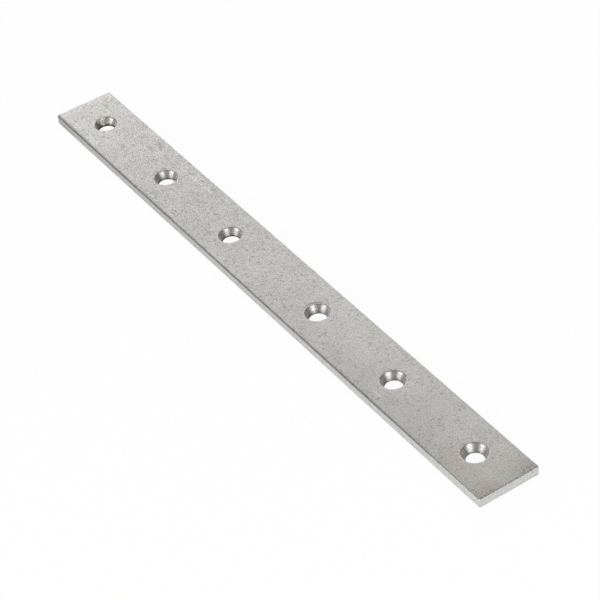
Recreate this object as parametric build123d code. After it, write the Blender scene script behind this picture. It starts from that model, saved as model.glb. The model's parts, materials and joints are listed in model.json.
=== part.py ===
from build123d import *

import os
from math import radians, tan

# Mending plate: one length of flat steel bar with a single row of countersunk screw holes.
# Lengths are in millimetres. The origin is at the centre of the underside, +X runs along
# the bar, +Y across it, and +Z points up out of the countersunk face.

# The bar, cut from flat stock
PLATE_LENGTH = 254.0  # 10 in
PLATE_WIDTH = 22.2  # 7/8 in
PLATE_THICKNESS = 3.2  # 1/8 in
TOP_EDGE_RADIUS = 0.4  # the edge all round the countersunk face
BOTTOM_EDGE_RADIUS = 0.15  # the edge all round the underside

# The corners, seen from above, each as the shears left it: which end, which side, radius
CORNERS = (
    (-1, -1, 0.9),
    (-1, 1, 0.8),
    (1, -1, 0.45),
    (1, 1, 0.45),
)

# The screw holes: two groups of three, mirrored about the middle of the bar
HOLES_PER_GROUP = 3
HOLE_PITCH = 42.0
CENTRE_GAP = 52.4  # between the two holes nearest the middle
BORE_DIAMETER = 5.9
BORE_EXIT_RADIUS = 0.3  # the lower edge of each bore, rolled over by the punch
SINK_ANGLE = 70.0  # included angle of the countersinks

# Each countersink was cut to its own depth, so the rims differ, from the -X end to the +X end
SINK_RIM_DIAMETERS = (8.3, 8.4, 8.4, 8.6, 8.6, 8.8)


def hole_centres():
    """X of every hole, from the -X end to the +X end."""
    group = [CENTRE_GAP / 2 + index * HOLE_PITCH for index in range(HOLES_PER_GROUP)]
    return [-x for x in reversed(group)] + group


def bar():
    """The blank: a flat bar with softened corners, before it is punched."""
    outline = Rectangle(PLATE_LENGTH, PLATE_WIDTH)
    for end, side, radius in CORNERS:
        corner = Vertex(end * PLATE_LENGTH / 2, side * PLATE_WIDTH / 2, 0)
        outline = fillet(outline.vertices().sort_by_distance(corner)[0], radius)
    blank = extrude(outline, PLATE_THICKNESS)
    blank = fillet(blank.faces().sort_by(Axis.Z)[-1].edges(), TOP_EDGE_RADIUS)
    return fillet(blank.faces().sort_by(Axis.Z)[0].edges(), BOTTOM_EDGE_RADIUS)


def screw_hole(centre_x, rim_diameter):
    """The space that the punch and the countersink clear, turned about the hole's axis."""
    bore_radius = BORE_DIAMETER / 2
    rim_radius = rim_diameter / 2
    sink_depth = (rim_radius - bore_radius) / tan(radians(SINK_ANGLE / 2))
    exit_edge = (bore_radius + BORE_EXIT_RADIUS, 0)
    wall_foot = (bore_radius, BORE_EXIT_RADIUS)
    wall_top = (bore_radius, PLATE_THICKNESS - sink_depth)
    rim_edge = (rim_radius, PLATE_THICKNESS)
    with BuildSketch(Plane.XZ) as half_section:
        with BuildLine():
            Line((0, 0), exit_edge)
            RadiusArc(exit_edge, wall_foot, BORE_EXIT_RADIUS)
            Polyline(wall_foot, wall_top, rim_edge, (0, PLATE_THICKNESS), (0, 0))
        make_face()
    return Pos(centre_x, 0, 0) * revolve(half_section.sketch, Axis.Z)


def mending_plate():
    """The finished plate, punched and countersunk."""
    holes = [screw_hole(x, rim) for x, rim in zip(hole_centres(), SINK_RIM_DIAMETERS)]
    return bar() - holes


plate = mending_plate()
plate.label = "mending_plate"
os.makedirs("parts", exist_ok=True)
export_step(plate, "parts/mending_plate.step")

print(f"holes at x = {[round(x, 2) for x in hole_centres()]}")
print(f"volume {plate.volume:.1f} mm3, size {plate.bounding_box().size}")
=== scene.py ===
# %% [markdown]
# # A zinc-plated mending plate
#
# A mending plate is a flat steel bar with a row of countersunk holes. It is screwed across a
# joint or a crack in timber. The real one is cut from flat stock, punched, countersunk with a
# turning tool and plated with zinc, and each of those steps leaves its own mark on the metal.
#
# This lesson dresses the bare model in those marks. The frame gives every size and place. The
# plate's skin is rebuilt as one closed mesh of grids, fine enough to carry the ragged edges,
# the torn ends and the tool's rings, and then each kind of surface gets its own finish.

# %% Load the frame
import json
import math

import bpy
import numpy as np
from mathutils import Matrix, Vector


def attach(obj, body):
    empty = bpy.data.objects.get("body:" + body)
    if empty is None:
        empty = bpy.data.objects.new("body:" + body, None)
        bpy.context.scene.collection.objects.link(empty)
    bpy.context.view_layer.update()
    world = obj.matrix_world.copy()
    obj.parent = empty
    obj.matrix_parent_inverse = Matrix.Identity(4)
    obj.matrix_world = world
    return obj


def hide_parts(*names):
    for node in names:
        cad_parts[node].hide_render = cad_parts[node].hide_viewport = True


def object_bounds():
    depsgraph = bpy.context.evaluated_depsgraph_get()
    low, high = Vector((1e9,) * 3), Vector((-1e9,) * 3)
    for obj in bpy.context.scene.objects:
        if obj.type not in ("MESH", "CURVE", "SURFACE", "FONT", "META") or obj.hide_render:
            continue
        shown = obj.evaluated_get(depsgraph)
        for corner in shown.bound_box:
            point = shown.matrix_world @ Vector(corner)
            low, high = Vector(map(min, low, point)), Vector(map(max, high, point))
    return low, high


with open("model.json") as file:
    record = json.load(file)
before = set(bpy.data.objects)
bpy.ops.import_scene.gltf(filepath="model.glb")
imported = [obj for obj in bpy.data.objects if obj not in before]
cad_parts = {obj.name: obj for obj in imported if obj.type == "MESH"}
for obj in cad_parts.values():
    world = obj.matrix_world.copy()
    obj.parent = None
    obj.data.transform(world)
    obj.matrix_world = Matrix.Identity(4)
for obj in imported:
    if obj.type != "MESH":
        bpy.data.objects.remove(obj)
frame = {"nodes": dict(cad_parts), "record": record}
cad_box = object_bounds()
NODE = "mending_plate"
MM = 0.001  # the scene is in metres, and workshop sizes are easier to read in millimetres
print("CAD box, mm:", [round(v / MM, 2) for v in (cad_box[1] - cad_box[0])])

# %% [markdown]
# ## Read the plate's sizes off the frame
#
# The frame's mesh has its corners on the true surface, so a few of them tell every size that
# the skin needs. The corners on the long side's flat give the edge radii, and the corners
# nearest a hole's axis give its bore and countersink. Sizes typed in by hand would work too,
# but they would go stale as soon as the plate changed.

# %% Measure the bar
cad = frame["nodes"][NODE]
corners = np.empty(len(cad.data.vertices) * 3)
cad.data.vertices.foreach_get("co", corners)
corners = corners.reshape(-1, 3)

TOUCH = 0.0005 * MM  # two places closer than this are the same place
half_length, half_width, thickness = corners.max(axis=0)
flank = corners[np.abs(corners[:, 1]) > half_width - TOUCH]  # corners on the long sides
top_radius = thickness - flank[:, 2].max()
bottom_radius = flank[:, 2].min()


def corner_radius(end, side):
    """How far a long side's flat stops short of the bar's end, which is the corner's radius."""
    return half_length - (end * flank[flank[:, 1] * side > 0, 0]).max()


corner_radii = {(end, side): corner_radius(end, side) for end in (-1, 1) for side in (-1, 1)}
print("edge radii, mm:", round(top_radius / MM, 3), round(bottom_radius / MM, 3))
print("corner radii, mm:", {place: round(radius / MM, 2) for place, radius in corner_radii.items()})

# %% Measure the holes
mounts = frame["record"]["mounts"]
hole_places = sorted(m["pos_m"][0] for m in mounts if m["kind"] == "bore")


def measure_hole(centre_x):
    """Sizes of the hole whose axis stands at centre_x, from the frame's corners round it."""
    away = np.hypot(corners[:, 0] - centre_x, corners[:, 1])
    height = corners[:, 2]
    near = away < half_width / 2
    bore = away[near].min()
    wall = height[near & (away < bore + TOUCH)]
    return {
        "x": centre_x,
        "bore": bore,
        "rim": away[near & (height > thickness - TOUCH)].min(),
        "foot": wall.min(),
        "shoulder": wall.max(),
    }


holes = [measure_hole(x) for x in hole_places]
for hole in holes:
    print("hole, mm:", {name: round(value / MM, 2) for name, value in hole.items()})

# %% [markdown]
# ## Grids, and one skin welded from them
#
# Every surface here is a grid of points worked out by a formula: rows along one parameter and
# columns along the other. Neighbouring grids share the very same border points, so welding
# them leaves one closed skin. Booleans could cut the holes instead, but they leave long thin
# triangles, and a relief can't be pressed into those.

# %% Turn grids into triangles and weld them
def fade(value, start, end):
    """0 before start, 1 after end, and eased between them. The two may be in either order."""
    t = np.clip((value - start) / (end - start), 0, 1)
    return t * t * (3 - 2 * t)


def grid_triangles(rows, columns):
    """Two triangles for each cell of a grid of rows x columns points, numbered row by row."""
    index = np.arange(rows * columns).reshape(rows, columns)
    a, b = index[:-1, :-1].ravel(), index[:-1, 1:].ravel()
    c, d = index[1:, 1:].ravel(), index[1:, :-1].ravel()
    return np.concatenate([np.stack([a, b, c], 1), np.stack([a, c, d], 1)])


def weld(grids):
    """One set of points and triangles from many grids. Points at one place become one point,
    and triangles that lose a side that way are dropped."""
    points, triangles, count = [], [], 0
    for grid in grids:
        rows, columns = grid.shape[:2]
        points.append(grid.reshape(-1, 3))
        triangles.append(grid_triangles(rows, columns) + count)
        count += rows * columns
    points = np.concatenate(points)
    keys = np.round(points / (0.0001 * MM)).astype(np.int64)
    _, first, merged = np.unique(keys, axis=0, return_index=True, return_inverse=True)
    triangles = merged.ravel()[np.concatenate(triangles)]
    a, b, c = triangles.T
    return points[first], triangles[(a != b) & (b != c) & (c != a)]


# %% [markdown]
# ## Lines that all the grids share
#
# Each hole sits in a square cell that spans the flat of the bar. Plain strips fill the lengths
# between the cells. One list of places along X and one across Y serve the top, the underside
# and the edge all round, so their borders meet point for point.

# %% Set out the grid lines
inset = max(corner_radii.values())  # from the bar's sides to the border of its flat
flat_x, flat_y = half_length - inset, half_width - inset
CELL_STEPS = 40  # cells along each side of a hole's square
across = np.linspace(-flat_y, flat_y, CELL_STEPS + 1)
step = across[1] - across[0]

squares = [hole["x"] + across for hole in holes]
strips, start = [], -flat_x
for square in squares + [np.array([flat_x])]:
    strips.append(np.linspace(start, square[0], max(2, round((square[0] - start) / step) + 1)))
    start = square[-1]
later = [np.concatenate([s[1:], t[1:]]) for s, t in zip(squares, strips[1:])]
along = np.concatenate([strips[0]] + later)
print("lines along, across:", len(along), len(across), "spacing, mm:", round(step / MM, 3))


def flat_grid(xs, ys, height):
    """The flat stretch over every pair of xs and ys, facing up."""
    x, y = np.meshgrid(xs, ys)
    return np.stack([x, y, np.full_like(x, height)], axis=-1)


def turned_over(grid):
    """The same grid seen from its other side."""
    return grid[:, ::-1]


plain_top = [flat_grid(xs, across, thickness) for xs in strips]
plain_bottom = [turned_over(flat_grid(xs, across, 0.0)) for xs in strips]

# %% [markdown]
# ## The edge all round
#
# The bar's edge is one profile carried round the plate: over the top radius, down the side
# and under the bottom radius. The path is the plate's outline with its four corners, each of
# its own radius. The rows in between are the outline moved inwards, and the last row on each
# face is the border of the flat, which has sharp corners, so the rows fan out from them. A
# bevel modifier could round the edges too, but its rows of points wouldn't follow the side's
# height, where the shear marks go.

# %% Draw the outline, corner by corner
CORNER_STEPS = 8


def corner_outline(radius):
    """A quarter of the outline, seen from the corner of the flat: out along u, then round to v.
    A straight of inset - radius, an arc of the corner's radius, and the straight again."""
    straight = inset - radius
    angle = np.linspace(0, np.pi / 2, CORNER_STEPS + 1)
    place = straight + radius * np.stack([np.cos(angle), np.sin(angle)], 1)
    return place, np.stack([np.cos(angle), np.sin(angle)], 1)


def quarter_turned(vectors, quarter_turns):
    """Flat vectors turned anticlockwise by whole quarter turns."""
    c, s = ((1, 0), (0, 1), (-1, 0), (0, -1))[quarter_turns % 4]
    return np.stack([c * vectors[:, 0] - s * vectors[:, 1], s * vectors[:, 0] + c * vectors[:, 1]], 1)


def outline_path():
    """Three lists of points, anticlockwise from above: the outline, which way is outward there,
    and the point of the flat's border that each belongs to. Closed."""
    legs = [  # the flat's border on each side, and the corner at the end of it
        (np.stack([along, np.full_like(along, -flat_y)], 1), (1, -1)),
        (np.stack([np.full_like(across, flat_x), across], 1), (1, 1)),
        (np.stack([along[::-1], np.full_like(along, flat_y)], 1), (-1, 1)),
        (np.stack([np.full_like(across, -flat_x), across[::-1]], 1), (-1, -1)),
    ]
    outline, outward, border = [], [], []
    for quarter, (leg, corner) in enumerate(legs, start=-1):
        facing = quarter_turned(np.array([[1.0, 0.0]]), quarter)
        place, normal = corner_outline(corner_radii[corner])
        outline += [leg + facing * inset, leg[-1] + quarter_turned(place, quarter)]
        outward += [np.repeat(facing, len(leg), axis=0), quarter_turned(normal, quarter)]
        border += [leg, np.repeat(leg[-1:], len(place), axis=0)]
    closed = [np.concatenate(part + [part[0][:1]]) for part in (outline, outward, border)]
    return closed


# %% Carry the edge profile round the outline
CRISP_RADIUS = 0.15 * MM  # the top of the +Y side and of the +X end, where the shears left a sharp edge
SIDE_STEPS, TOP_STEPS, BOTTOM_STEPS = 9, 6, 3


def edge_grid():
    """Rows up the profile, columns round the outline: outline - outward x how far in, at the
    profile's height. The rounded edges are quarter circles of sin and cos."""
    outline, outward, border = outline_path()
    crisp = np.maximum(fade(outward[:, 1], 0.2, 0.9), fade(outward[:, 0], 0.5, 0.95))
    top = (top_radius * (1 - crisp) + CRISP_RADIUS * crisp)[None]
    over = np.linspace(0, np.pi / 2, TOP_STEPS + 1)[:, None]
    under = np.linspace(np.pi / 2, 0, BOTTOM_STEPS + 1)[:, None]
    climb = np.linspace(0, 1, SIDE_STEPS + 1)[1:-1, None]
    hold = top + 0.8 * (min(corner_radii.values()) - top_radius)  # keeps the face's shading flat
    inwards = np.concatenate([
        hold, bottom_radius * (1 - np.cos(under)) + 0 * top, 0 * climb * top, top * (1 - np.cos(over)), hold,
    ])
    heights = np.concatenate([
        0 * hold, bottom_radius * (1 - np.sin(under)) + 0 * top,
        bottom_radius + climb * (thickness - top - bottom_radius),
        thickness - top * (1 - np.sin(over)), 0 * hold + thickness,
    ])
    flat = outline[None] - outward[None] * inwards[..., None]
    rows = np.concatenate([flat, heights[..., None]], axis=-1)
    first = np.column_stack([border, np.zeros(len(border))])[None]
    last = np.column_stack([border, np.full(len(border), thickness)])[None]
    return np.concatenate([first, rows, last])


edge = edge_grid()
print("edge grid:", edge.shape[:2])

# %% [markdown]
# ## The screw holes
#
# A hole is a profile turned about the hole's axis: up round the punched lower edge, up the
# bore, over the shoulder and out along the countersink to the rim. Its corners are a little
# soft, because a tool is never sharp and plating fills them. Outside the rim each ring keeps
# its number of points but slides from a circle to the square cell, so the hole joins the
# plain strips without a gap.

# %% Turn the holes
SHOULDER_WORN = (0.3, 0.4, 0.4, 0.4, 0.4, 0.4)  # mm each way from the shoulder, hole by hole from -X
# How far the visible shoulders lie below the solid's, in mm. This is set for how far the
# streaks of light reach down the walls. It makes the visible cones 62 to 68 degrees, not 70.
SHOULDER_SUNK = (0.05, 0.25, 0.3, 0.3, 0.3, 0.25)
RIM_INSIDE, RIM_OUTSIDE = 0.15 * MM, 0.45 * MM  # the rim's rounding, on either side of it


def arc(centre, radius, start, end, steps):
    """Points on a circle: centre + radius x (cos, sin) of angles from start to end, degrees."""
    angle = np.radians(np.linspace(start, end, steps + 1))
    return np.stack([centre[0] + radius * np.cos(angle), centre[1] + radius * np.sin(angle)], 1)


def line(start, end, steps):
    """Evenly spaced points from start to end, without the first."""
    t = np.arange(1, steps + 1)[:, None] / steps
    return np.asarray(start) * (1 - t) + np.asarray(end) * t


def soft_corner(start, corner, end, steps):
    """A quadratic curve from start to end that leans towards the corner, without its start."""
    t = np.arange(1, steps + 1)[:, None] / steps
    return (1 - t) ** 2 * np.asarray(start) + 2 * t * (1 - t) * np.asarray(corner) + t ** 2 * np.asarray(end)


def hole_profile(hole):
    """(radius, height) from the underside up to the top face, just outside the rim."""
    shoulder = np.array([hole["bore"], hole["shoulder"] - hole["sunk"]])
    slant = np.array([hole["rim"], thickness]) - shoulder
    slant = slant / np.hypot(*slant)
    rim = np.array([hole["rim"], thickness])
    exit_edge = arc((hole["bore"] + hole["foot"], hole["foot"]), hole["foot"], 270, 180, 4)
    wall_end, cone_start = shoulder - [0, hole["worn"]], shoulder + slant * hole["worn"]
    cone_end, top_start = rim - slant * RIM_INSIDE, rim + [RIM_OUTSIDE, 0]
    return np.concatenate([
        exit_edge,
        line(exit_edge[-1], wall_end, 4),
        soft_corner(wall_end, shoulder, cone_start, 7),
        line(cone_start, cone_end, 8),
        soft_corner(cone_end, rim, top_start, 5),
    ])


def square_border(hole):
    """The border of a hole's square cell, anticlockwise from its -X -Y corner, closed."""
    xs = hole["x"] + across
    return np.concatenate([
        np.stack([xs, np.full_like(xs, across[0])], 1)[:-1],
        np.stack([np.full_like(across, xs[-1]), across], 1)[:-1],
        np.stack([xs[::-1], np.full_like(xs, across[-1])], 1)[:-1],
        np.stack([np.full_like(across, xs[0]), across[::-1]], 1),
    ])


def ring_angles():
    """One angle for each border point, a whole turn in even steps from the same corner."""
    return np.radians(-135) + np.linspace(0, 2 * np.pi, 4 * CELL_STEPS + 1)


def hole_wall(hole):
    """Rows up the profile, columns round the axis: centre + radius x (cos, sin)."""
    radius, height = hole_profile(hole).T
    angle = ring_angles()
    x = hole["x"] + radius[:, None] * np.cos(angle)
    y = radius[:, None] * np.sin(angle)
    return np.stack([x, y, np.broadcast_to(height[:, None], x.shape)], axis=-1)


def hole_surround(ring, hole, rings):
    """From a ring of points out to the square cell: each row is a blend of circle and square,
    (1 - t) x circle + t x square, with the rows closer together near the hole."""
    square = np.column_stack([square_border(hole), np.full(len(ring), ring[0, 2])])
    t = (np.linspace(0, 1, rings + 1) ** 1.5)[:, None, None]
    return (1 - t) * ring + t * square


hole_grids = []
for hole, worn, sunk in zip(holes, SHOULDER_WORN, SHOULDER_SUNK):
    hole["worn"], hole["sunk"] = worn * MM, sunk * MM
    wall = hole_wall(hole)
    hole_grids.append(turned_over(wall))
    hole_grids.append(turned_over(hole_surround(wall[-1], hole, 16)))
    hole_grids.append(hole_surround(wall[0], hole, 7))
print("rings up a hole:", len(hole_profile(holes[0])))

# %% Weld the skin and look for gaps
points, triangles = weld(plain_top + plain_bottom + [edge] + hole_grids)
sides = np.sort(np.concatenate([triangles[:, [0, 1]], triangles[:, [1, 2]], triangles[:, [2, 0]]]), axis=1)
_, uses = np.unique(sides, axis=0, return_counts=True)
a, b, c = (points[triangles[:, k]] for k in range(3))
volume = np.einsum("ij,ij->i", a, np.cross(b, c)).sum() / 6
print("triangles:", len(triangles), "open edges:", int((uses != 2).sum()))
print("volume, mm3:", round(volume / MM ** 3, 1))

# %% [markdown]
# ## Press the maker's marks into the skin
#
# Rolled bar is never dead flat, a sheared end tears, and a countersink keeps the rings that
# the cutter chattered into it. The first hole's countersink is chipped on one side, and the
# face sags a little towards some rims. Each mark here is a depth in millimetres, worked out
# for every point at once and pressed in along the point's own normal. Depths are never
# negative, so the dressed plate stays inside the size it was drawn to. A Displace modifier
# could do the same, but a sum of plain formulas shows what each mark does.

# %% Smooth noise over many points
TABLE_SIZE = 4096
noise_table = np.random.default_rng(7).random(TABLE_SIZE)


def smooth_noise(where, cell, seed):
    """Value noise from 0 to 1: a random number at each corner of a lattice with the given
    cell size (one number, or one for each axis), eased between the eight corners round each
    point. The easing is 3t^2 - 2t^3 along each axis."""
    scaled = where / (np.asarray(cell) * MM)
    base = np.floor(scaled).astype(np.int64)
    t = scaled - base
    t = t * t * (3 - 2 * t)
    total = np.zeros(len(where))
    for corner in range(8):
        offset = np.array([corner & 1, corner >> 1 & 1, corner >> 2 & 1])
        place = base + offset
        key = place[:, 0] * 73856093 ^ place[:, 1] * 19349663 ^ place[:, 2] * 83492791 ^ seed * 2654435761
        weight = np.where(offset, t, 1 - t).prod(axis=1)
        total += weight * noise_table[key % TABLE_SIZE]
    return total


def point_normals(points, triangles):
    """The sum of the normals of the triangles round each point, weighted by their area."""
    a, b, c = (points[triangles[:, k]] for k in range(3))
    facing = np.cross(b - a, c - a)
    owner = triangles.ravel()
    sums = [np.bincount(owner, np.repeat(facing[:, k], 3), len(points)) for k in range(3)]
    total = np.stack(sums, 1)
    return total / np.linalg.norm(total, axis=1, keepdims=True)


normals = point_normals(points, triangles)
sample = smooth_noise(points[:2000], 1.0, 1)
print("noise spans", sample.min().round(2), "to", sample.max().round(2))

# %% Say which part of the plate each point belongs to
x, y, z = points.T
up = np.abs(normals[:, 2])
from_axis = np.full(len(points), np.inf)  # distance to the nearest hole's axis
rim_radius, bearing, nearest = (np.zeros(len(points)) for _ in range(3))
for number, hole in enumerate(holes):
    away = np.hypot(x - hole["x"], y)
    nearer = away < from_axis
    from_axis[nearer] = away[nearer]
    rim_radius[nearer] = hole["rim"]
    bearing[nearer] = np.arctan2(y, x - hole["x"])[nearer]
    nearest[nearer] = number
nearest = nearest.astype(int)


def towards_bearing(degrees, narrow, wide):
    """1 round a hole's axis at the given bearing, and 0 from wide degrees away from it on."""
    turn = np.abs((np.degrees(bearing) - degrees + 180) % 360 - 180)
    return fade(turn, wide, narrow)


inside_hole = from_axis < rim_radius + RIM_OUTSIDE / 2
facing_end = np.where(inside_hole, 0, fade(np.abs(normals[:, 0]), 0.5, 0.9))
facing_side = np.where(inside_hole, 0, fade(np.abs(normals[:, 1]), 0.5, 0.9))
top_edge = np.where(inside_hole | (z < thickness / 2), 0, 1 - np.abs(2 * up - 1.2).clip(0, 1))
in_sink = np.where(inside_hole, fade(normals[:, 2], 0.2, 0.5) * fade(normals[:, 2], 0.98, 0.85), 0)
in_bore = np.where(inside_hole, fade(up, 0.5, 0.2), 0)
for part, mask in (("sinks", in_sink), ("bores", in_bore), ("ends", facing_end)):
    print("points in", part, int((mask > 0.5).sum()))

# %% Work out the depth of every mark, in millimetres
#
# Faces: long shallow waves from the rolling mill, with smaller ripples on them.
face = np.where(inside_hole, 0, up ** 4)
waves = 0.022 * smooth_noise(points, (16, 7, 7), 11) + 0.008 * smooth_noise(points, (4, 2.5, 4), 12)

# Edges: nicks from handling, long ones and short ones.
nicks = 0.05 * smooth_noise(points, (5, 3, 3), 21) * smooth_noise(points, (1.3, 1.3, 1.3), 22)

# Sides: scratches drawn out along the bar.
draw_lines = 0.03 * smooth_noise(points, (9, 1, 0.5), 31)

# Ends: smooth where the shear's blade went in, and torn below, in streaks that run up and down.
torn = fade(z / MM, 2.3, 1.7)
streaks = smooth_noise(points, (1.2, 1.2, 4), 41)
tearing = smooth_noise(points, (0.9, 0.9, 0.7), 42)
end_marks = 0.02 * streaks + torn * (0.03 + 0.06 * tearing)

# Sinks: rings of the cutter's chatter, deepest where the noise says so.
ring_pitch = 0.45
rings = 0.5 - 0.5 * np.cos(2 * np.pi * np.sqrt(2) * (rim_radius - from_axis) / MM / ring_pitch)
sink_marks = 0.02 * rings * (0.4 + 0.6 * smooth_noise(points, (3, 3, 3), 51))

# The first sink: chipped on the side where the cutter dug in.
chipped = towards_bearing(185, 25, 55) * (nearest == 0) * fade(from_axis - rim_radius, 0.2 * MM, 0)
chips = 0.16 * chipped * fade(smooth_noise(points, (0.8, 0.8, 0.6), 52), 0.45, 0.7)

# Rims: the face sags towards some of the holes, mostly on the far side.
SAG = np.array([0.09, 0.06, 0.03, 0.09, 0.03, 0.02])
beyond_rim = (from_axis - rim_radius) / MM
sag = SAG[nearest] * fade(beyond_rim, 1.1, 0.15) * towards_bearing(170, 20, 70) * face

# Bores: the punch drags the metal down, so the streaks run up and down here too.
bore_marks = 0.03 * smooth_noise(points, (0.8, 0.8, 3), 61)

depth = (
    face * waves + top_edge * nicks + facing_side * draw_lines + sag
    + facing_end * end_marks + in_sink * (sink_marks + chips) + in_bore * bore_marks
)
pressed = points - normals * (depth * MM)[:, None]
print("deepest mark, mm:", depth.max().round(3), "mean:", depth.mean().round(3))

# %% Put the skin into a mesh
def mesh_piece(name, points, triangles):
    """A smooth-shaded object from arrays of points and triangles, standing at the origin."""
    mesh = bpy.data.meshes.new(name)
    mesh.from_pydata(points, [], triangles)
    mesh.shade_smooth()
    piece = bpy.data.objects.new(name, mesh)
    bpy.context.scene.collection.objects.link(piece)
    return piece


# %% [markdown]
# ## Say where the stains and the painted shade lie
#
# Stains lie by the ends and beside the last hole, and a brighter strip runs along the far end.
# Painted shade, with some darker metal, lies over the rounded top of the -Y side. Painted shade
# also lies in a line inside the +X end's top edge, the feet of the bores, one side of the sinks
# and their rims. Each of these is a mask, one number from 0 to 1 for every point of the skin, and
# the materials read it by its name. Painted images could carry the same marks, but a formula stays
# sharp at any distance and follows the plate when its sizes change.

# %% Work out the masks
#
# The -Y edge: a dark line over the rounded top of the -Y side, strongest at the far end. It is
# painted shade and dark reflection, partly a darker line on the metal itself.
from_side, from_top = (half_width + y) / MM, (thickness - z) / MM
drift = 0.35 * (x / half_length) ** 2 - 0.1
wider, higher = 0.12 * fade(x / MM, -60, -110), 0.35 * fade(x / MM, 75, 120)
rolled = fade(from_side, 0.85 + drift + wider, 0.35 + drift + wider)
rolled = rolled * fade(from_top, 0.68 - drift - higher, 0.23 - drift - higher)
rolled = rolled * (0.75 + 0.25 * fade(x, 0, -half_length) - 0.2 * fade(x / MM, 70, 120))
rolled = rolled * (0.8 + 0.2 * smooth_noise(points, (6, 3, 3), 71))
rolled = np.where(normals[:, 0] > 0.5, 0, rolled)
# A thin line of painted shade just inside the top edge of the +X end.
end_edge_shade = 0.45 * fade((half_length - x) / MM, 0.55, 0.1) * fade(from_top, 0.2, 0.05)
rolled = np.maximum(rolled, end_edge_shade)

# Stains: warm patches by the ends and beside the last hole.
patches = fade(smooth_noise(points, (5, 3.5, 5), 81), 0.35, 0.75)
near_ends = np.maximum(fade(x / MM, 108, 125), 0.7 * fade(x / MM, -120, -126))
by_last_hole = fade(np.hypot((x / MM - 109) / 8, (y / MM + 6.5) / 4), 1.2, 0.5)
stain = np.where(normals[:, 2] > 0.5, np.maximum(near_ends * patches, 0.8 * by_last_hole), 0)

# Painted shade: in the foot of the bores and on one side of the sinks, less of it towards the +X end.
BORE_SHADE = np.array([1.0, 0.6, 0.55, 0.4, 0.3, 0.15])
in_foot = fade(z / MM, 1.5, 0.9) * towards_bearing(195, 50, 100)
in_lee = 0.75 * towards_bearing(235, 20, 55)
grime = np.where(inside_hole, BORE_SHADE[nearest] * np.maximum(in_foot, in_lee), 0)
grime = grime * (0.6 + 0.4 * smooth_noise(points, (1.5, 1.5, 1.5), 92))
# A thin ring of painted shade round the top of each sink's rim.
rim_shade = np.where(inside_hole, 0.38 * fade(z / MM, 2.72, 3.0), 0)
grime = np.maximum(grime, rim_shade)

# A brighter strip along the far end.
strip = fade(x / MM, -123.2, -124.2) * (0.7 + 0.3 * smooth_noise(points, (2, 3, 3), 91))


# The leaning band below each shoulder: a stand-in, with no form behind it. The turned finish
# tilts its normals up here, so that the streaks of light carry on into the bore.
shoulder_height = np.array([hole["shoulder"] for hole in holes])[nearest]
below = (shoulder_height - z) / MM
leaning_band = np.where(inside_hole, fade(below, -0.45, 0.05) * fade(z / MM, 0.3, 0.6), 0)


def keep(piece, name, values):
    """One number for each point, kept on the mesh under a name that a material can read."""
    piece.data.attributes.new(name, "FLOAT", "POINT").data.foreach_set("value", values.astype(np.float32))


plate = mesh_piece("plate_steel", pressed, triangles)
keep(plate, "rolled", rolled)
keep(plate, "stain", stain)
keep(plate, "bright", strip)
keep(plate, "grime", grime)
keep(plate, "leaning_band", leaning_band)
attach(plate, "root")
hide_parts(NODE)
print("plate:", len(plate.data.vertices), "points,", len(plate.data.polygons), "triangles")

# %% [markdown]
# ## The finishes
#
# The plate has three finishes. The faces are dull zinc, the sides and ends are steel that the
# shears cut, and the holes are turned bright. All three are metal: a base colour that the light
# is multiplied by, a roughness, and a fine bump. What tells them apart is the size and the
# direction of the grain, so noise on object coordinates does most of the work. A few short
# functions keep the node trees readable, because each node is then one line.

# %% A short way to write nodes
def new_material(name):
    """A material with an empty node tree, and its Principled shader already on the output."""
    material = bpy.data.materials.new(name)
    material.use_nodes = True
    return material, material.node_tree, material.node_tree.nodes["Principled BSDF"]


def node(tree, kind, inputs=(), **settings):
    """A new node with its settings, and its inputs set to values or linked from sockets."""
    made = tree.nodes.new(kind)
    for name, value in settings.items():
        setattr(made, name, value)
    for socket, value in dict(inputs).items():
        if isinstance(value, bpy.types.NodeSocket):
            tree.links.new(value, made.inputs[socket])
        else:
            made.inputs[socket].default_value = value
    return made


def grain(tree, size, detail=2.0, stretch=(1, 1, 1)):
    """Noise on object coordinates whose features are about size millimetres across."""
    place = node(tree, "ShaderNodeTexCoord").outputs["Object"]
    stretched = node(tree, "ShaderNodeMapping", {"Vector": place, "Scale": [1 / s for s in stretch]})
    noise = node(tree, "ShaderNodeTexNoise", {
        "Vector": stretched.outputs["Vector"], "Scale": 1 / (size * MM), "Detail": detail,
    })
    return noise.outputs["Fac"]


def remap(tree, value, low, high, to_low, to_high):
    """value from low..high carried to to_low..to_high, and held there outside."""
    return node(tree, "ShaderNodeMapRange", {
        "Value": value, "From Min": low, "From Max": high, "To Min": to_low, "To Max": to_high,
    }).outputs["Result"]


def combine(tree, operation, first, second):
    """Two numbers put together by one of the math node's operations."""
    return node(tree, "ShaderNodeMath", {0: first, 1: second}, operation=operation).outputs[0]


def object_place(tree):
    """The point's X, Y and Z in object coordinates, each on its own socket."""
    place = node(tree, "ShaderNodeTexCoord").outputs["Object"]
    return node(tree, "ShaderNodeSeparateXYZ", {0: place}).outputs


def blend_colour(tree, factor, first, second, mode="MIX"):
    """first and second mixed by factor, as colours."""
    mix = node(tree, "ShaderNodeMix", data_type="RGBA", blend_type=mode)
    for index, value in ((0, factor), (6, first), (7, second)):
        if isinstance(value, bpy.types.NodeSocket):
            tree.links.new(value, mix.inputs[index])
        else:
            mix.inputs[index].default_value = value
    return mix.outputs[2]


def bump(tree, height, distance):
    """The surface normal tilted as if height stood distance millimetres tall."""
    inputs = {"Height": height, "Distance": distance * MM}
    return node(tree, "ShaderNodeBump", inputs).outputs["Normal"]


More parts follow.
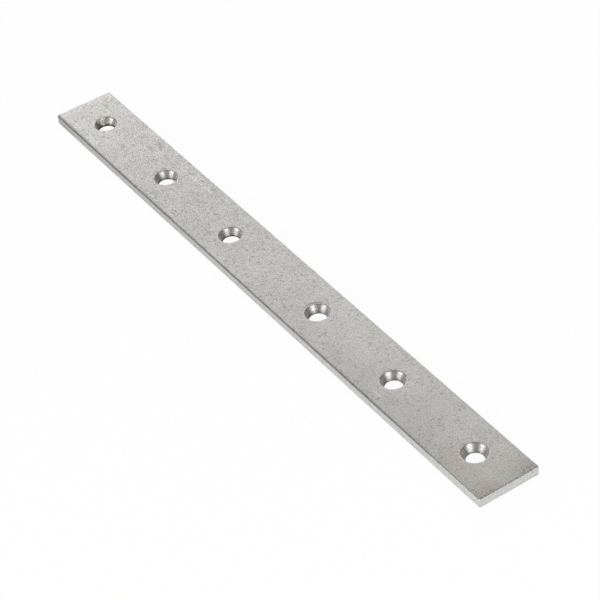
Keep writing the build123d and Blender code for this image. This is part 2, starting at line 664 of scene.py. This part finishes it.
# %% [markdown]
# ## Dull zinc
#
# Zinc from a plating bath is a skin of tiny crystals. It scatters light widely and looks like
# fine salt and pepper. Three grains are laid over each other here: the crystals, darker specks
# and faint patches. Then come the stains, and the scratches and smudges that a plate picks up
# in a shop bin. A scratch is only a line from one place to another, so a list of lines and the
# distance to the nearest one is enough to draw them.

# %% Read a mask, tint a colour
def attribute(tree, name):
    """One of the skin's own masks, as a number from 0 to 1."""
    return node(tree, "ShaderNodeAttribute", attribute_name=name).outputs["Fac"]


def shaded(tree, colour, mask, tint):
    """The colour multiplied by tint where the mask is 1."""
    return blend_colour(tree, mask, colour, blend_colour(tree, 1.0, colour, tint, "MULTIPLY"))


def times(tree, first, second):
    """The product of two numbers."""
    return combine(tree, "MULTIPLY", first, second)


# %% Scratches and smudges
#
# Places on the face, in millimetres: from x, y to x, y, and half the width.
SCRATCHES = (
    (-64, 7.0, -50, 7.5, 0.4), (-44.7, 7.3, -44.1, 4.9, 0.35), (-60.6, 7.1, -58.3, 9.8, 0.3),
    (-60.5, -3, -59.5, -3.2, 0.5), (68, -7.9, 72.5, -7.2, 0.3), (104, 4, 106, 3.3, 0.3),
    (99, -5, 98.6, -5.1, 0.55), (97.9, -5.6, 97.7, -5.8, 0.4), (85.5, -4, 85.3, -4, 0.35),
    (99.7, 8.3, 99.9, 8.2, 0.4), (100, 6.1, 100.2, 6, 0.35),
)
SMUDGES = (
    (-86, 8.2, -84, 7.5, 1.3), (-87, 5, -86, 4.7, 0.9), (-120, 6, -119, 5.6, 1.0),
    (-95, -2, -93.5, -2.5, 1.1), (-52, 8.8, -50.5, 9.3, 1.0),
)


def along_lines(tree, lines):
    """1 on each of the lines, and 0 from its half width away: the distance from a point to the
    nearest place of a line, which is its start plus its direction times the held distance along."""
    place = node(tree, "ShaderNodeTexCoord").outputs["Object"]
    total = None
    for x0, y0, x1, y1, half_line in lines:
        start, run = Vector((x0 * MM, y0 * MM, thickness)), Vector(((x1 - x0) * MM, (y1 - y0) * MM, 0))
        ahead = run.normalized()
        off = node(tree, "ShaderNodeVectorMath", {0: place, 1: start}, operation="SUBTRACT").outputs[0]
        so_far = node(tree, "ShaderNodeVectorMath", {0: off, 1: ahead}, operation="DOT_PRODUCT")
        held = remap(tree, so_far.outputs["Value"], 0, run.length, 0, run.length)
        foot = node(tree, "ShaderNodeVectorMath", {0: ahead, 3: held}, operation="SCALE").outputs[0]
        gap = node(tree, "ShaderNodeVectorMath", {0: off, 1: foot}, operation="DISTANCE").outputs["Value"]
        mask = remap(tree, gap, 0.2 * half_line * MM, half_line * MM, 1, 0)
        total = mask if total is None else combine(tree, "MAXIMUM", total, mask)
    return total


# %% Dull zinc on the faces
zinc, tree, shader = new_material("dull_zinc")
fine, speck, patch = grain(tree, 0.36, 1), grain(tree, 0.9, 2), grain(tree, 7, 3)
place = object_place(tree)
along_bar, across_bar = place["X"], place["Y"]
coarse = remap(tree, along_bar, -0.8 * half_length, 0.2 * half_length, 1, 0)
tone = remap(tree, fine, 0.30, 0.70, 0.0, 1.0)
low = blend_colour(tree, coarse, (0.392, 0.389, 0.373, 1), (0.265, 0.263, 0.251, 1))
high = blend_colour(tree, coarse, (0.643, 0.638, 0.617, 1), (0.742, 0.737, 0.714, 1))
colour = blend_colour(tree, tone, low, high)
# Painted light and shade along the bar: the face darkens from the far end to 50 mm short of the middle, and
# brightens from there to the near end.
colour = shaded(tree, colour, remap(tree, along_bar, -half_length, -50 * MM, 0, 1), (0.89, 0.89, 0.89, 1))
colour = shaded(tree, colour, remap(tree, along_bar, -50 * MM, half_length, 0, 1), (1.24, 1.24, 1.24, 1))
colour = shaded(tree, colour, remap(tree, speck, 0.60, 0.72, 0, 1), (0.72, 0.72, 0.72, 1))
colour = shaded(tree, colour, remap(tree, patch, 0.35, 0.65, 0, 1), (0.94, 0.935, 0.93, 1))
colour = shaded(tree, colour, attribute(tree, "stain"), (1.02, 0.96, 0.945, 1))
colour = shaded(tree, colour, attribute(tree, "bright"), (1.10, 1.10, 1.10, 1))
colour = shaded(tree, colour, along_lines(tree, SCRATCHES), (1.22, 1.22, 1.22, 1))
colour = shaded(tree, colour, along_lines(tree, SMUDGES), (0.80, 0.80, 0.79, 1))
# Painted shade: the -Y half of the face is darker from the middle on, most from 60 mm to 110 mm, and less at
# the near end.
face_shade = times(tree, remap(tree, along_bar, 0, 60 * MM, 0, 1), remap(tree, across_bar, -8 * MM, 1 * MM, 1, 0))
face_shade = times(tree, face_shade, remap(tree, along_bar, 110 * MM, 120 * MM, 1, 0.2))
colour = shaded(tree, colour, face_shade, (0.92, 0.915, 0.91, 1))
off_middle = node(tree, "ShaderNodeMath", {0: across_bar}, operation="ABSOLUTE").outputs[0]
to_corners = remap(tree, off_middle, 2 * MM, 8 * MM, 0.35, 1)
rust = times(tree, remap(tree, along_bar, 120 * MM, 126 * MM, 0, 1), to_corners)
rust = times(tree, rust, remap(tree, grain(tree, 0.8, 2), 0.40, 0.58, 0.3, 1))
colour = shaded(tree, colour, rust, (0.66, 0.63, 0.61, 1))
# Painted shade and dark reflection over the rounded top of the -Y side, partly a darker line on the metal,
# and a line of painted shade inside the +X end's top edge.
colour = shaded(tree, colour, attribute(tree, "rolled"), (0.42, 0.42, 0.42, 1))
tree.links.new(colour, shader.inputs["Base Color"])
tree.links.new(remap(tree, speck, 0.3, 0.7, 0.34, 0.46), shader.inputs["Roughness"])
tree.links.new(bump(tree, fine, 0.014), shader.inputs["Normal"])
shader.inputs["Metallic"].default_value = 1.0

# %% [markdown]
# ## Sheared steel
#
# The sides were drawn through rollers and the ends cut by shears, so their zinc lies on metal
# that is smoother and brighter than the faces. The roughness varies in long streaks along the
# bar, which is noise stretched twelve times along X. The painted shade over the top of the -Y
# side, partly a darker line on the metal, crosses from the face to the side, so both finishes
# read the same mask and it shows no seam.

# %% Sheared steel on the sides and ends
sheared, tree, shader = new_material("sheared_edge")
along_bar = object_place(tree)["X"]
fine, draw, patch = grain(tree, 0.5, 2), grain(tree, 0.4, 2, stretch=(12, 1, 1)), grain(tree, 0.9, 2)
tone = remap(tree, fine, 0.32, 0.68, 0.0, 1.0)
colour = blend_colour(tree, tone, (0.50, 0.50, 0.485, 1), (0.70, 0.70, 0.68, 1))
colour = shaded(tree, colour, remap(tree, patch, 0.55, 0.7, 0, 1), (0.75, 0.75, 0.75, 1))
# Painted shade: the sides and ends darken over the last 14 mm towards the far end.
colour = shaded(tree, colour, remap(tree, along_bar, -108 * MM, -122 * MM, 0, 1), (0.85, 0.85, 0.85, 1))
# The same painted shade over the rounded top of the -Y side and inside the +X end, partly a darker line on
# the metal.
colour = shaded(tree, colour, attribute(tree, "rolled"), (0.42, 0.42, 0.42, 1))
tree.links.new(colour, shader.inputs["Base Color"])
tree.links.new(remap(tree, draw, 0.3, 0.7, 0.22, 0.34), shader.inputs["Roughness"])
tree.links.new(bump(tree, fine, 0.012), shader.inputs["Normal"])
shader.inputs["Metallic"].default_value = 1.0

# %% [markdown]
# ## Turned steel
#
# A countersink's wall is covered in grooves that run round it. Light that falls across grooves
# spreads far and light along them hardly does, so each lamp shows as a streak up and down the
# wall. The shader does this with anisotropy, and its tangent points along the hole's axis.
# Below the shoulder the normals are also tilted up, a plain shading trick that the mesh lacks.
# Modelled grooves would do it too, but only at a hundred times the triangles.

# %% Turned steel in the holes
turned, tree, shader = new_material("turned_sink")
fine, rows = grain(tree, 0.5, 2), grain(tree, 0.2, 1, stretch=(60, 60, 1))
tone = remap(tree, fine, 0.32, 0.68, 0.0, 1.0)
colour = blend_colour(tree, tone, (0.52, 0.515, 0.49, 1), (0.70, 0.695, 0.67, 1))
# Painted shade: darker in the feet of the bores, on one side of the sinks and round the rims.
colour = shaded(tree, colour, attribute(tree, "grime"), (0.25, 0.24, 0.17, 1))
tree.links.new(colour, shader.inputs["Base Color"])
tree.links.new(remap(tree, rows, 0.3, 0.7, 0.40, 0.52), shader.inputs["Roughness"])
LEAN = 0.42  # how much of straight up is added to the normal, which tilts a level one 23 degrees
lean = remap(tree, attribute(tree, "leaning_band"), 0, 1, 0, LEAN)
lean = node(tree, "ShaderNodeCombineXYZ", {"Z": lean}).outputs[0]
leaning = node(tree, "ShaderNodeVectorMath", {0: bump(tree, rows, 0.02), 1: lean}, operation="ADD").outputs[0]
leaning = node(tree, "ShaderNodeVectorMath", {0: leaning}, operation="NORMALIZE").outputs[0]
tree.links.new(leaning, shader.inputs["Normal"])
shader.inputs["Anisotropic"].default_value = 0.7
tree.links.new(node(tree, "ShaderNodeCombineXYZ", {"Z": 1.0}).outputs[0], shader.inputs["Tangent"])
shader.inputs["Metallic"].default_value = 1.0

# %% Give each triangle its finish
corners_of = points[triangles]
facing = np.cross(corners_of[:, 1] - corners_of[:, 0], corners_of[:, 2] - corners_of[:, 0])
level = np.abs(facing[:, 2]) / np.linalg.norm(facing, axis=1)
in_hole = (from_axis[triangles] < (rim_radius + 2 * TOUCH)[triangles]).all(axis=1)
finish = np.where(in_hole, 2, np.where(level < 0.97, 1, 0)).astype(np.int32)
for material in (zinc, sheared, turned):
    plate.data.materials.append(material)
plate.data.polygons.foreach_set("material_index", finish)
print("triangles of zinc, sheared, turned:", np.bincount(finish))

# %% [markdown]
# ## The floor
#
# The plate lies on white paper. The paper shows white to the camera, and metal mirrors it, but
# the metal must not mirror paper that the plate itself shades. So the paper's light is switched
# by the kind of ray: full for the camera, weaker for mirror rays beside the plate, and off
# under the plate. It is clear from below, and to the underside's own mirror rays, so that the
# underside can be looked at. This is a stage trick. Real paper would hide the underside.

# %% Floor
plate_centre = (cad_box[0] + cad_box[1]) / 2
plate_size = cad_box[1] - cad_box[0]
FLOOR_DROP = 0.1 * MM
floor_reach = 20 * plate_size[0]


def floor_grid(reach, steps, height):
    """A level square grid of points from -reach to +reach, and its triangles, facing up."""
    across = np.linspace(-reach, reach, steps + 1)
    grid = flat_grid(across, across, height)
    return grid.reshape(-1, 3), grid_triangles(steps + 1, steps + 1)


floor = mesh_piece("floor", *floor_grid(floor_reach, 4, -FLOOR_DROP))

paper, tree, shader = new_material("white_paper")
ray = node(tree, "ShaderNodeLightPath").outputs
place = object_place(tree)
beside = []
for axis, half in (("X", half_length), ("Y", half_width)):
    away = node(tree, "ShaderNodeMath", {0: place[axis]}, operation="ABSOLUTE").outputs[0]
    beside.append(remap(tree, away, half - 0.5 * MM, half, 0, 1))
beside = combine(tree, "MAXIMUM", *beside)
# Painted light: the paper that metal mirrors beside the plate glows less towards the far end, from full at
# the near end to 0.42.
painted_glow_along_bar = remap(tree, place["X"], -half_length, half_length, 0.42, 1.0)
mirrored = times(tree, times(tree, ray["Is Glossy Ray"], beside), painted_glow_along_bar)
seen = combine(tree, "MAXIMUM", ray["Is Camera Ray"], ray["Is Transmission Ray"])
seen = combine(tree, "MAXIMUM", seen, mirrored)
PAPER_GLOW = 0.92  # the lamps light the paper a little as well, and together they come near white
tree.links.new(remap(tree, seen, 0, 1, 0, PAPER_GLOW), shader.inputs["Emission Strength"])
shadow = combine(tree, "SUBTRACT", ray["Is Glossy Ray"], beside)
# Painted shadow: mirror rays under the plate see the paper dark, nearly black at the far end and dark grey
# from 0.3 of the length on.
under = remap(tree, place["X"], -half_length, -0.4 * half_length, 0, 1)
under = blend_colour(tree, under, (0.04, 0.04, 0.035, 1), (0.55, 0.55, 0.52, 1))
lit = blend_colour(tree, shadow, (0.85, 0.85, 0.85, 1), under)
tree.links.new(blend_colour(tree, seen, lit, (0.10, 0.10, 0.10, 1)), shader.inputs["Base Color"])
shader.inputs["Emission Color"].default_value = (1, 1, 1, 1)
shader.inputs["Roughness"].default_value = 1.0
shader.inputs["Specular IOR Level"].default_value = 0.0
behind = node(tree, "ShaderNodeNewGeometry").outputs["Backfacing"]
close = combine(tree, "LESS_THAN", ray["Ray Length"], 3 * FLOOR_DROP)
mirrored_close = times(tree, close, shadow)  # the underside's own rays
open_floor = combine(tree, "MAXIMUM", behind, mirrored_close)
clear = node(tree, "ShaderNodeBsdfTransparent")
both = node(tree, "ShaderNodeMixShader", {0: open_floor, 1: shader.outputs[0], 2: clear.outputs[0]})
tree.links.new(both.outputs[0], tree.nodes["Material Output"].inputs["Surface"])
floor.data.materials.append(paper)

# %% [markdown]
# ## Lamps, sky and camera
#
# Three large soft lamps stand round the plate. The one at the back is mirrored by the face and
# sets its even grey, and the two low ones in front draw the streaks in the holes. A plain dome
# fills the rest. It is dimmer at the top and at one side, so that the turned walls have
# something dark to mirror too. A single bright dome would be simpler, but metal that mirrors
# one even brightness has no shape.

# %% Light
def direction(azimuth, elevation):
    """Unit vector towards an azimuth, anticlockwise from +X, and an elevation, both degrees."""
    a, e = math.radians(azimuth), math.radians(elevation)
    return Vector((math.cos(a) * math.cos(e), math.sin(a) * math.cos(e), math.sin(e)))


def soft_lamp(name, azimuth, elevation, distance, width, height, brightness):
    """A rectangular lamp that faces the plate. Its face shines at the given brightness, where
    1 is white, so its power is brightness x pi x area."""
    light = bpy.data.lights.new(name, "AREA")
    light.shape = "RECTANGLE"
    light.size, light.size_y = width, height
    light.energy = brightness * math.pi * width * height
    lamp = bpy.data.objects.new(name, light)
    towards = direction(azimuth, elevation)
    turn = towards.to_track_quat("Z", "Y").to_matrix().to_4x4()
    lamp.matrix_world = Matrix.Translation(plate_centre + towards * distance) @ turn
    bpy.context.scene.collection.objects.link(lamp)
    return lamp


soft_lamp("back_lamp", 150, 28, 1.2, 1.6, 0.75, 1.18)
soft_lamp("right_lamp", 5, 22, 1.2, 0.8, 0.65, 3.6)
soft_lamp("left_lamp", -94, 19, 1.2, 0.8, 0.65, 3.6)

world = bpy.data.worlds.new("studio")
world.use_nodes = True
bpy.context.scene.world = world
tree = world.node_tree
ray = node(tree, "ShaderNodeLightPath").outputs
towards = node(tree, "ShaderNodeTexCoord").outputs["Generated"]
height = node(tree, "ShaderNodeSeparateXYZ", {"Vector": towards}).outputs["Z"]
dome = remap(tree, height, 0.6, 0.95, 0.48, 0.22)
DARK_SIDE, DARK_SPREAD, DARK_LEFT = (72, 12), 45, 0.35  # bearing and height, degrees, light left
along_it = node(tree, "ShaderNodeVectorMath", {
    0: towards, 1: direction(*DARK_SIDE),
}, operation="DOT_PRODUCT").outputs["Value"]
dome = times(tree, dome, remap(tree, along_it, math.cos(math.radians(DARK_SPREAD)), 1.0, 1.0, DARK_LEFT))
sky = tree.nodes["Background"]
tree.links.new(combine(tree, "MAXIMUM", dome, ray["Is Camera Ray"]), sky.inputs["Strength"])
sky.inputs["Color"].default_value = (1, 1, 1, 1)

# %% Camera
VIEW_AZIMUTH, VIEW_ELEVATION, VIEW_ROLL = -29.21, 39.99, -7.25  # degrees
VIEW_DISTANCE = 779.5  # mm
AIM_RIGHT, AIM_UP = 8.63, -6.57  # mm
LENS = 141.47


def aim_camera():
    """A camera that looks at the frame's origin from its direction, rolled about its own line
    of sight and slid sideways."""
    back = direction(VIEW_AZIMUTH, VIEW_ELEVATION)
    right = Vector((0, 0, 1)).cross(back).normalized()
    up = back.cross(right)
    roll = math.radians(VIEW_ROLL)
    rolled_right = math.cos(roll) * right + math.sin(roll) * up
    rolled_up = math.cos(roll) * up - math.sin(roll) * right
    place = back * VIEW_DISTANCE + rolled_right * AIM_RIGHT + rolled_up * AIM_UP
    camera = bpy.data.objects.new("camera", bpy.data.cameras.new("camera"))
    camera.data.lens = LENS
    camera.data.clip_start = 0.01
    matrix = Matrix((rolled_right, rolled_up, back)).transposed().to_4x4()
    matrix.translation = place * MM
    camera.matrix_world = matrix
    bpy.context.scene.collection.objects.link(camera)
    return camera


bpy.context.scene.camera = aim_camera()
bpy.context.scene.view_settings.view_transform = "Standard"
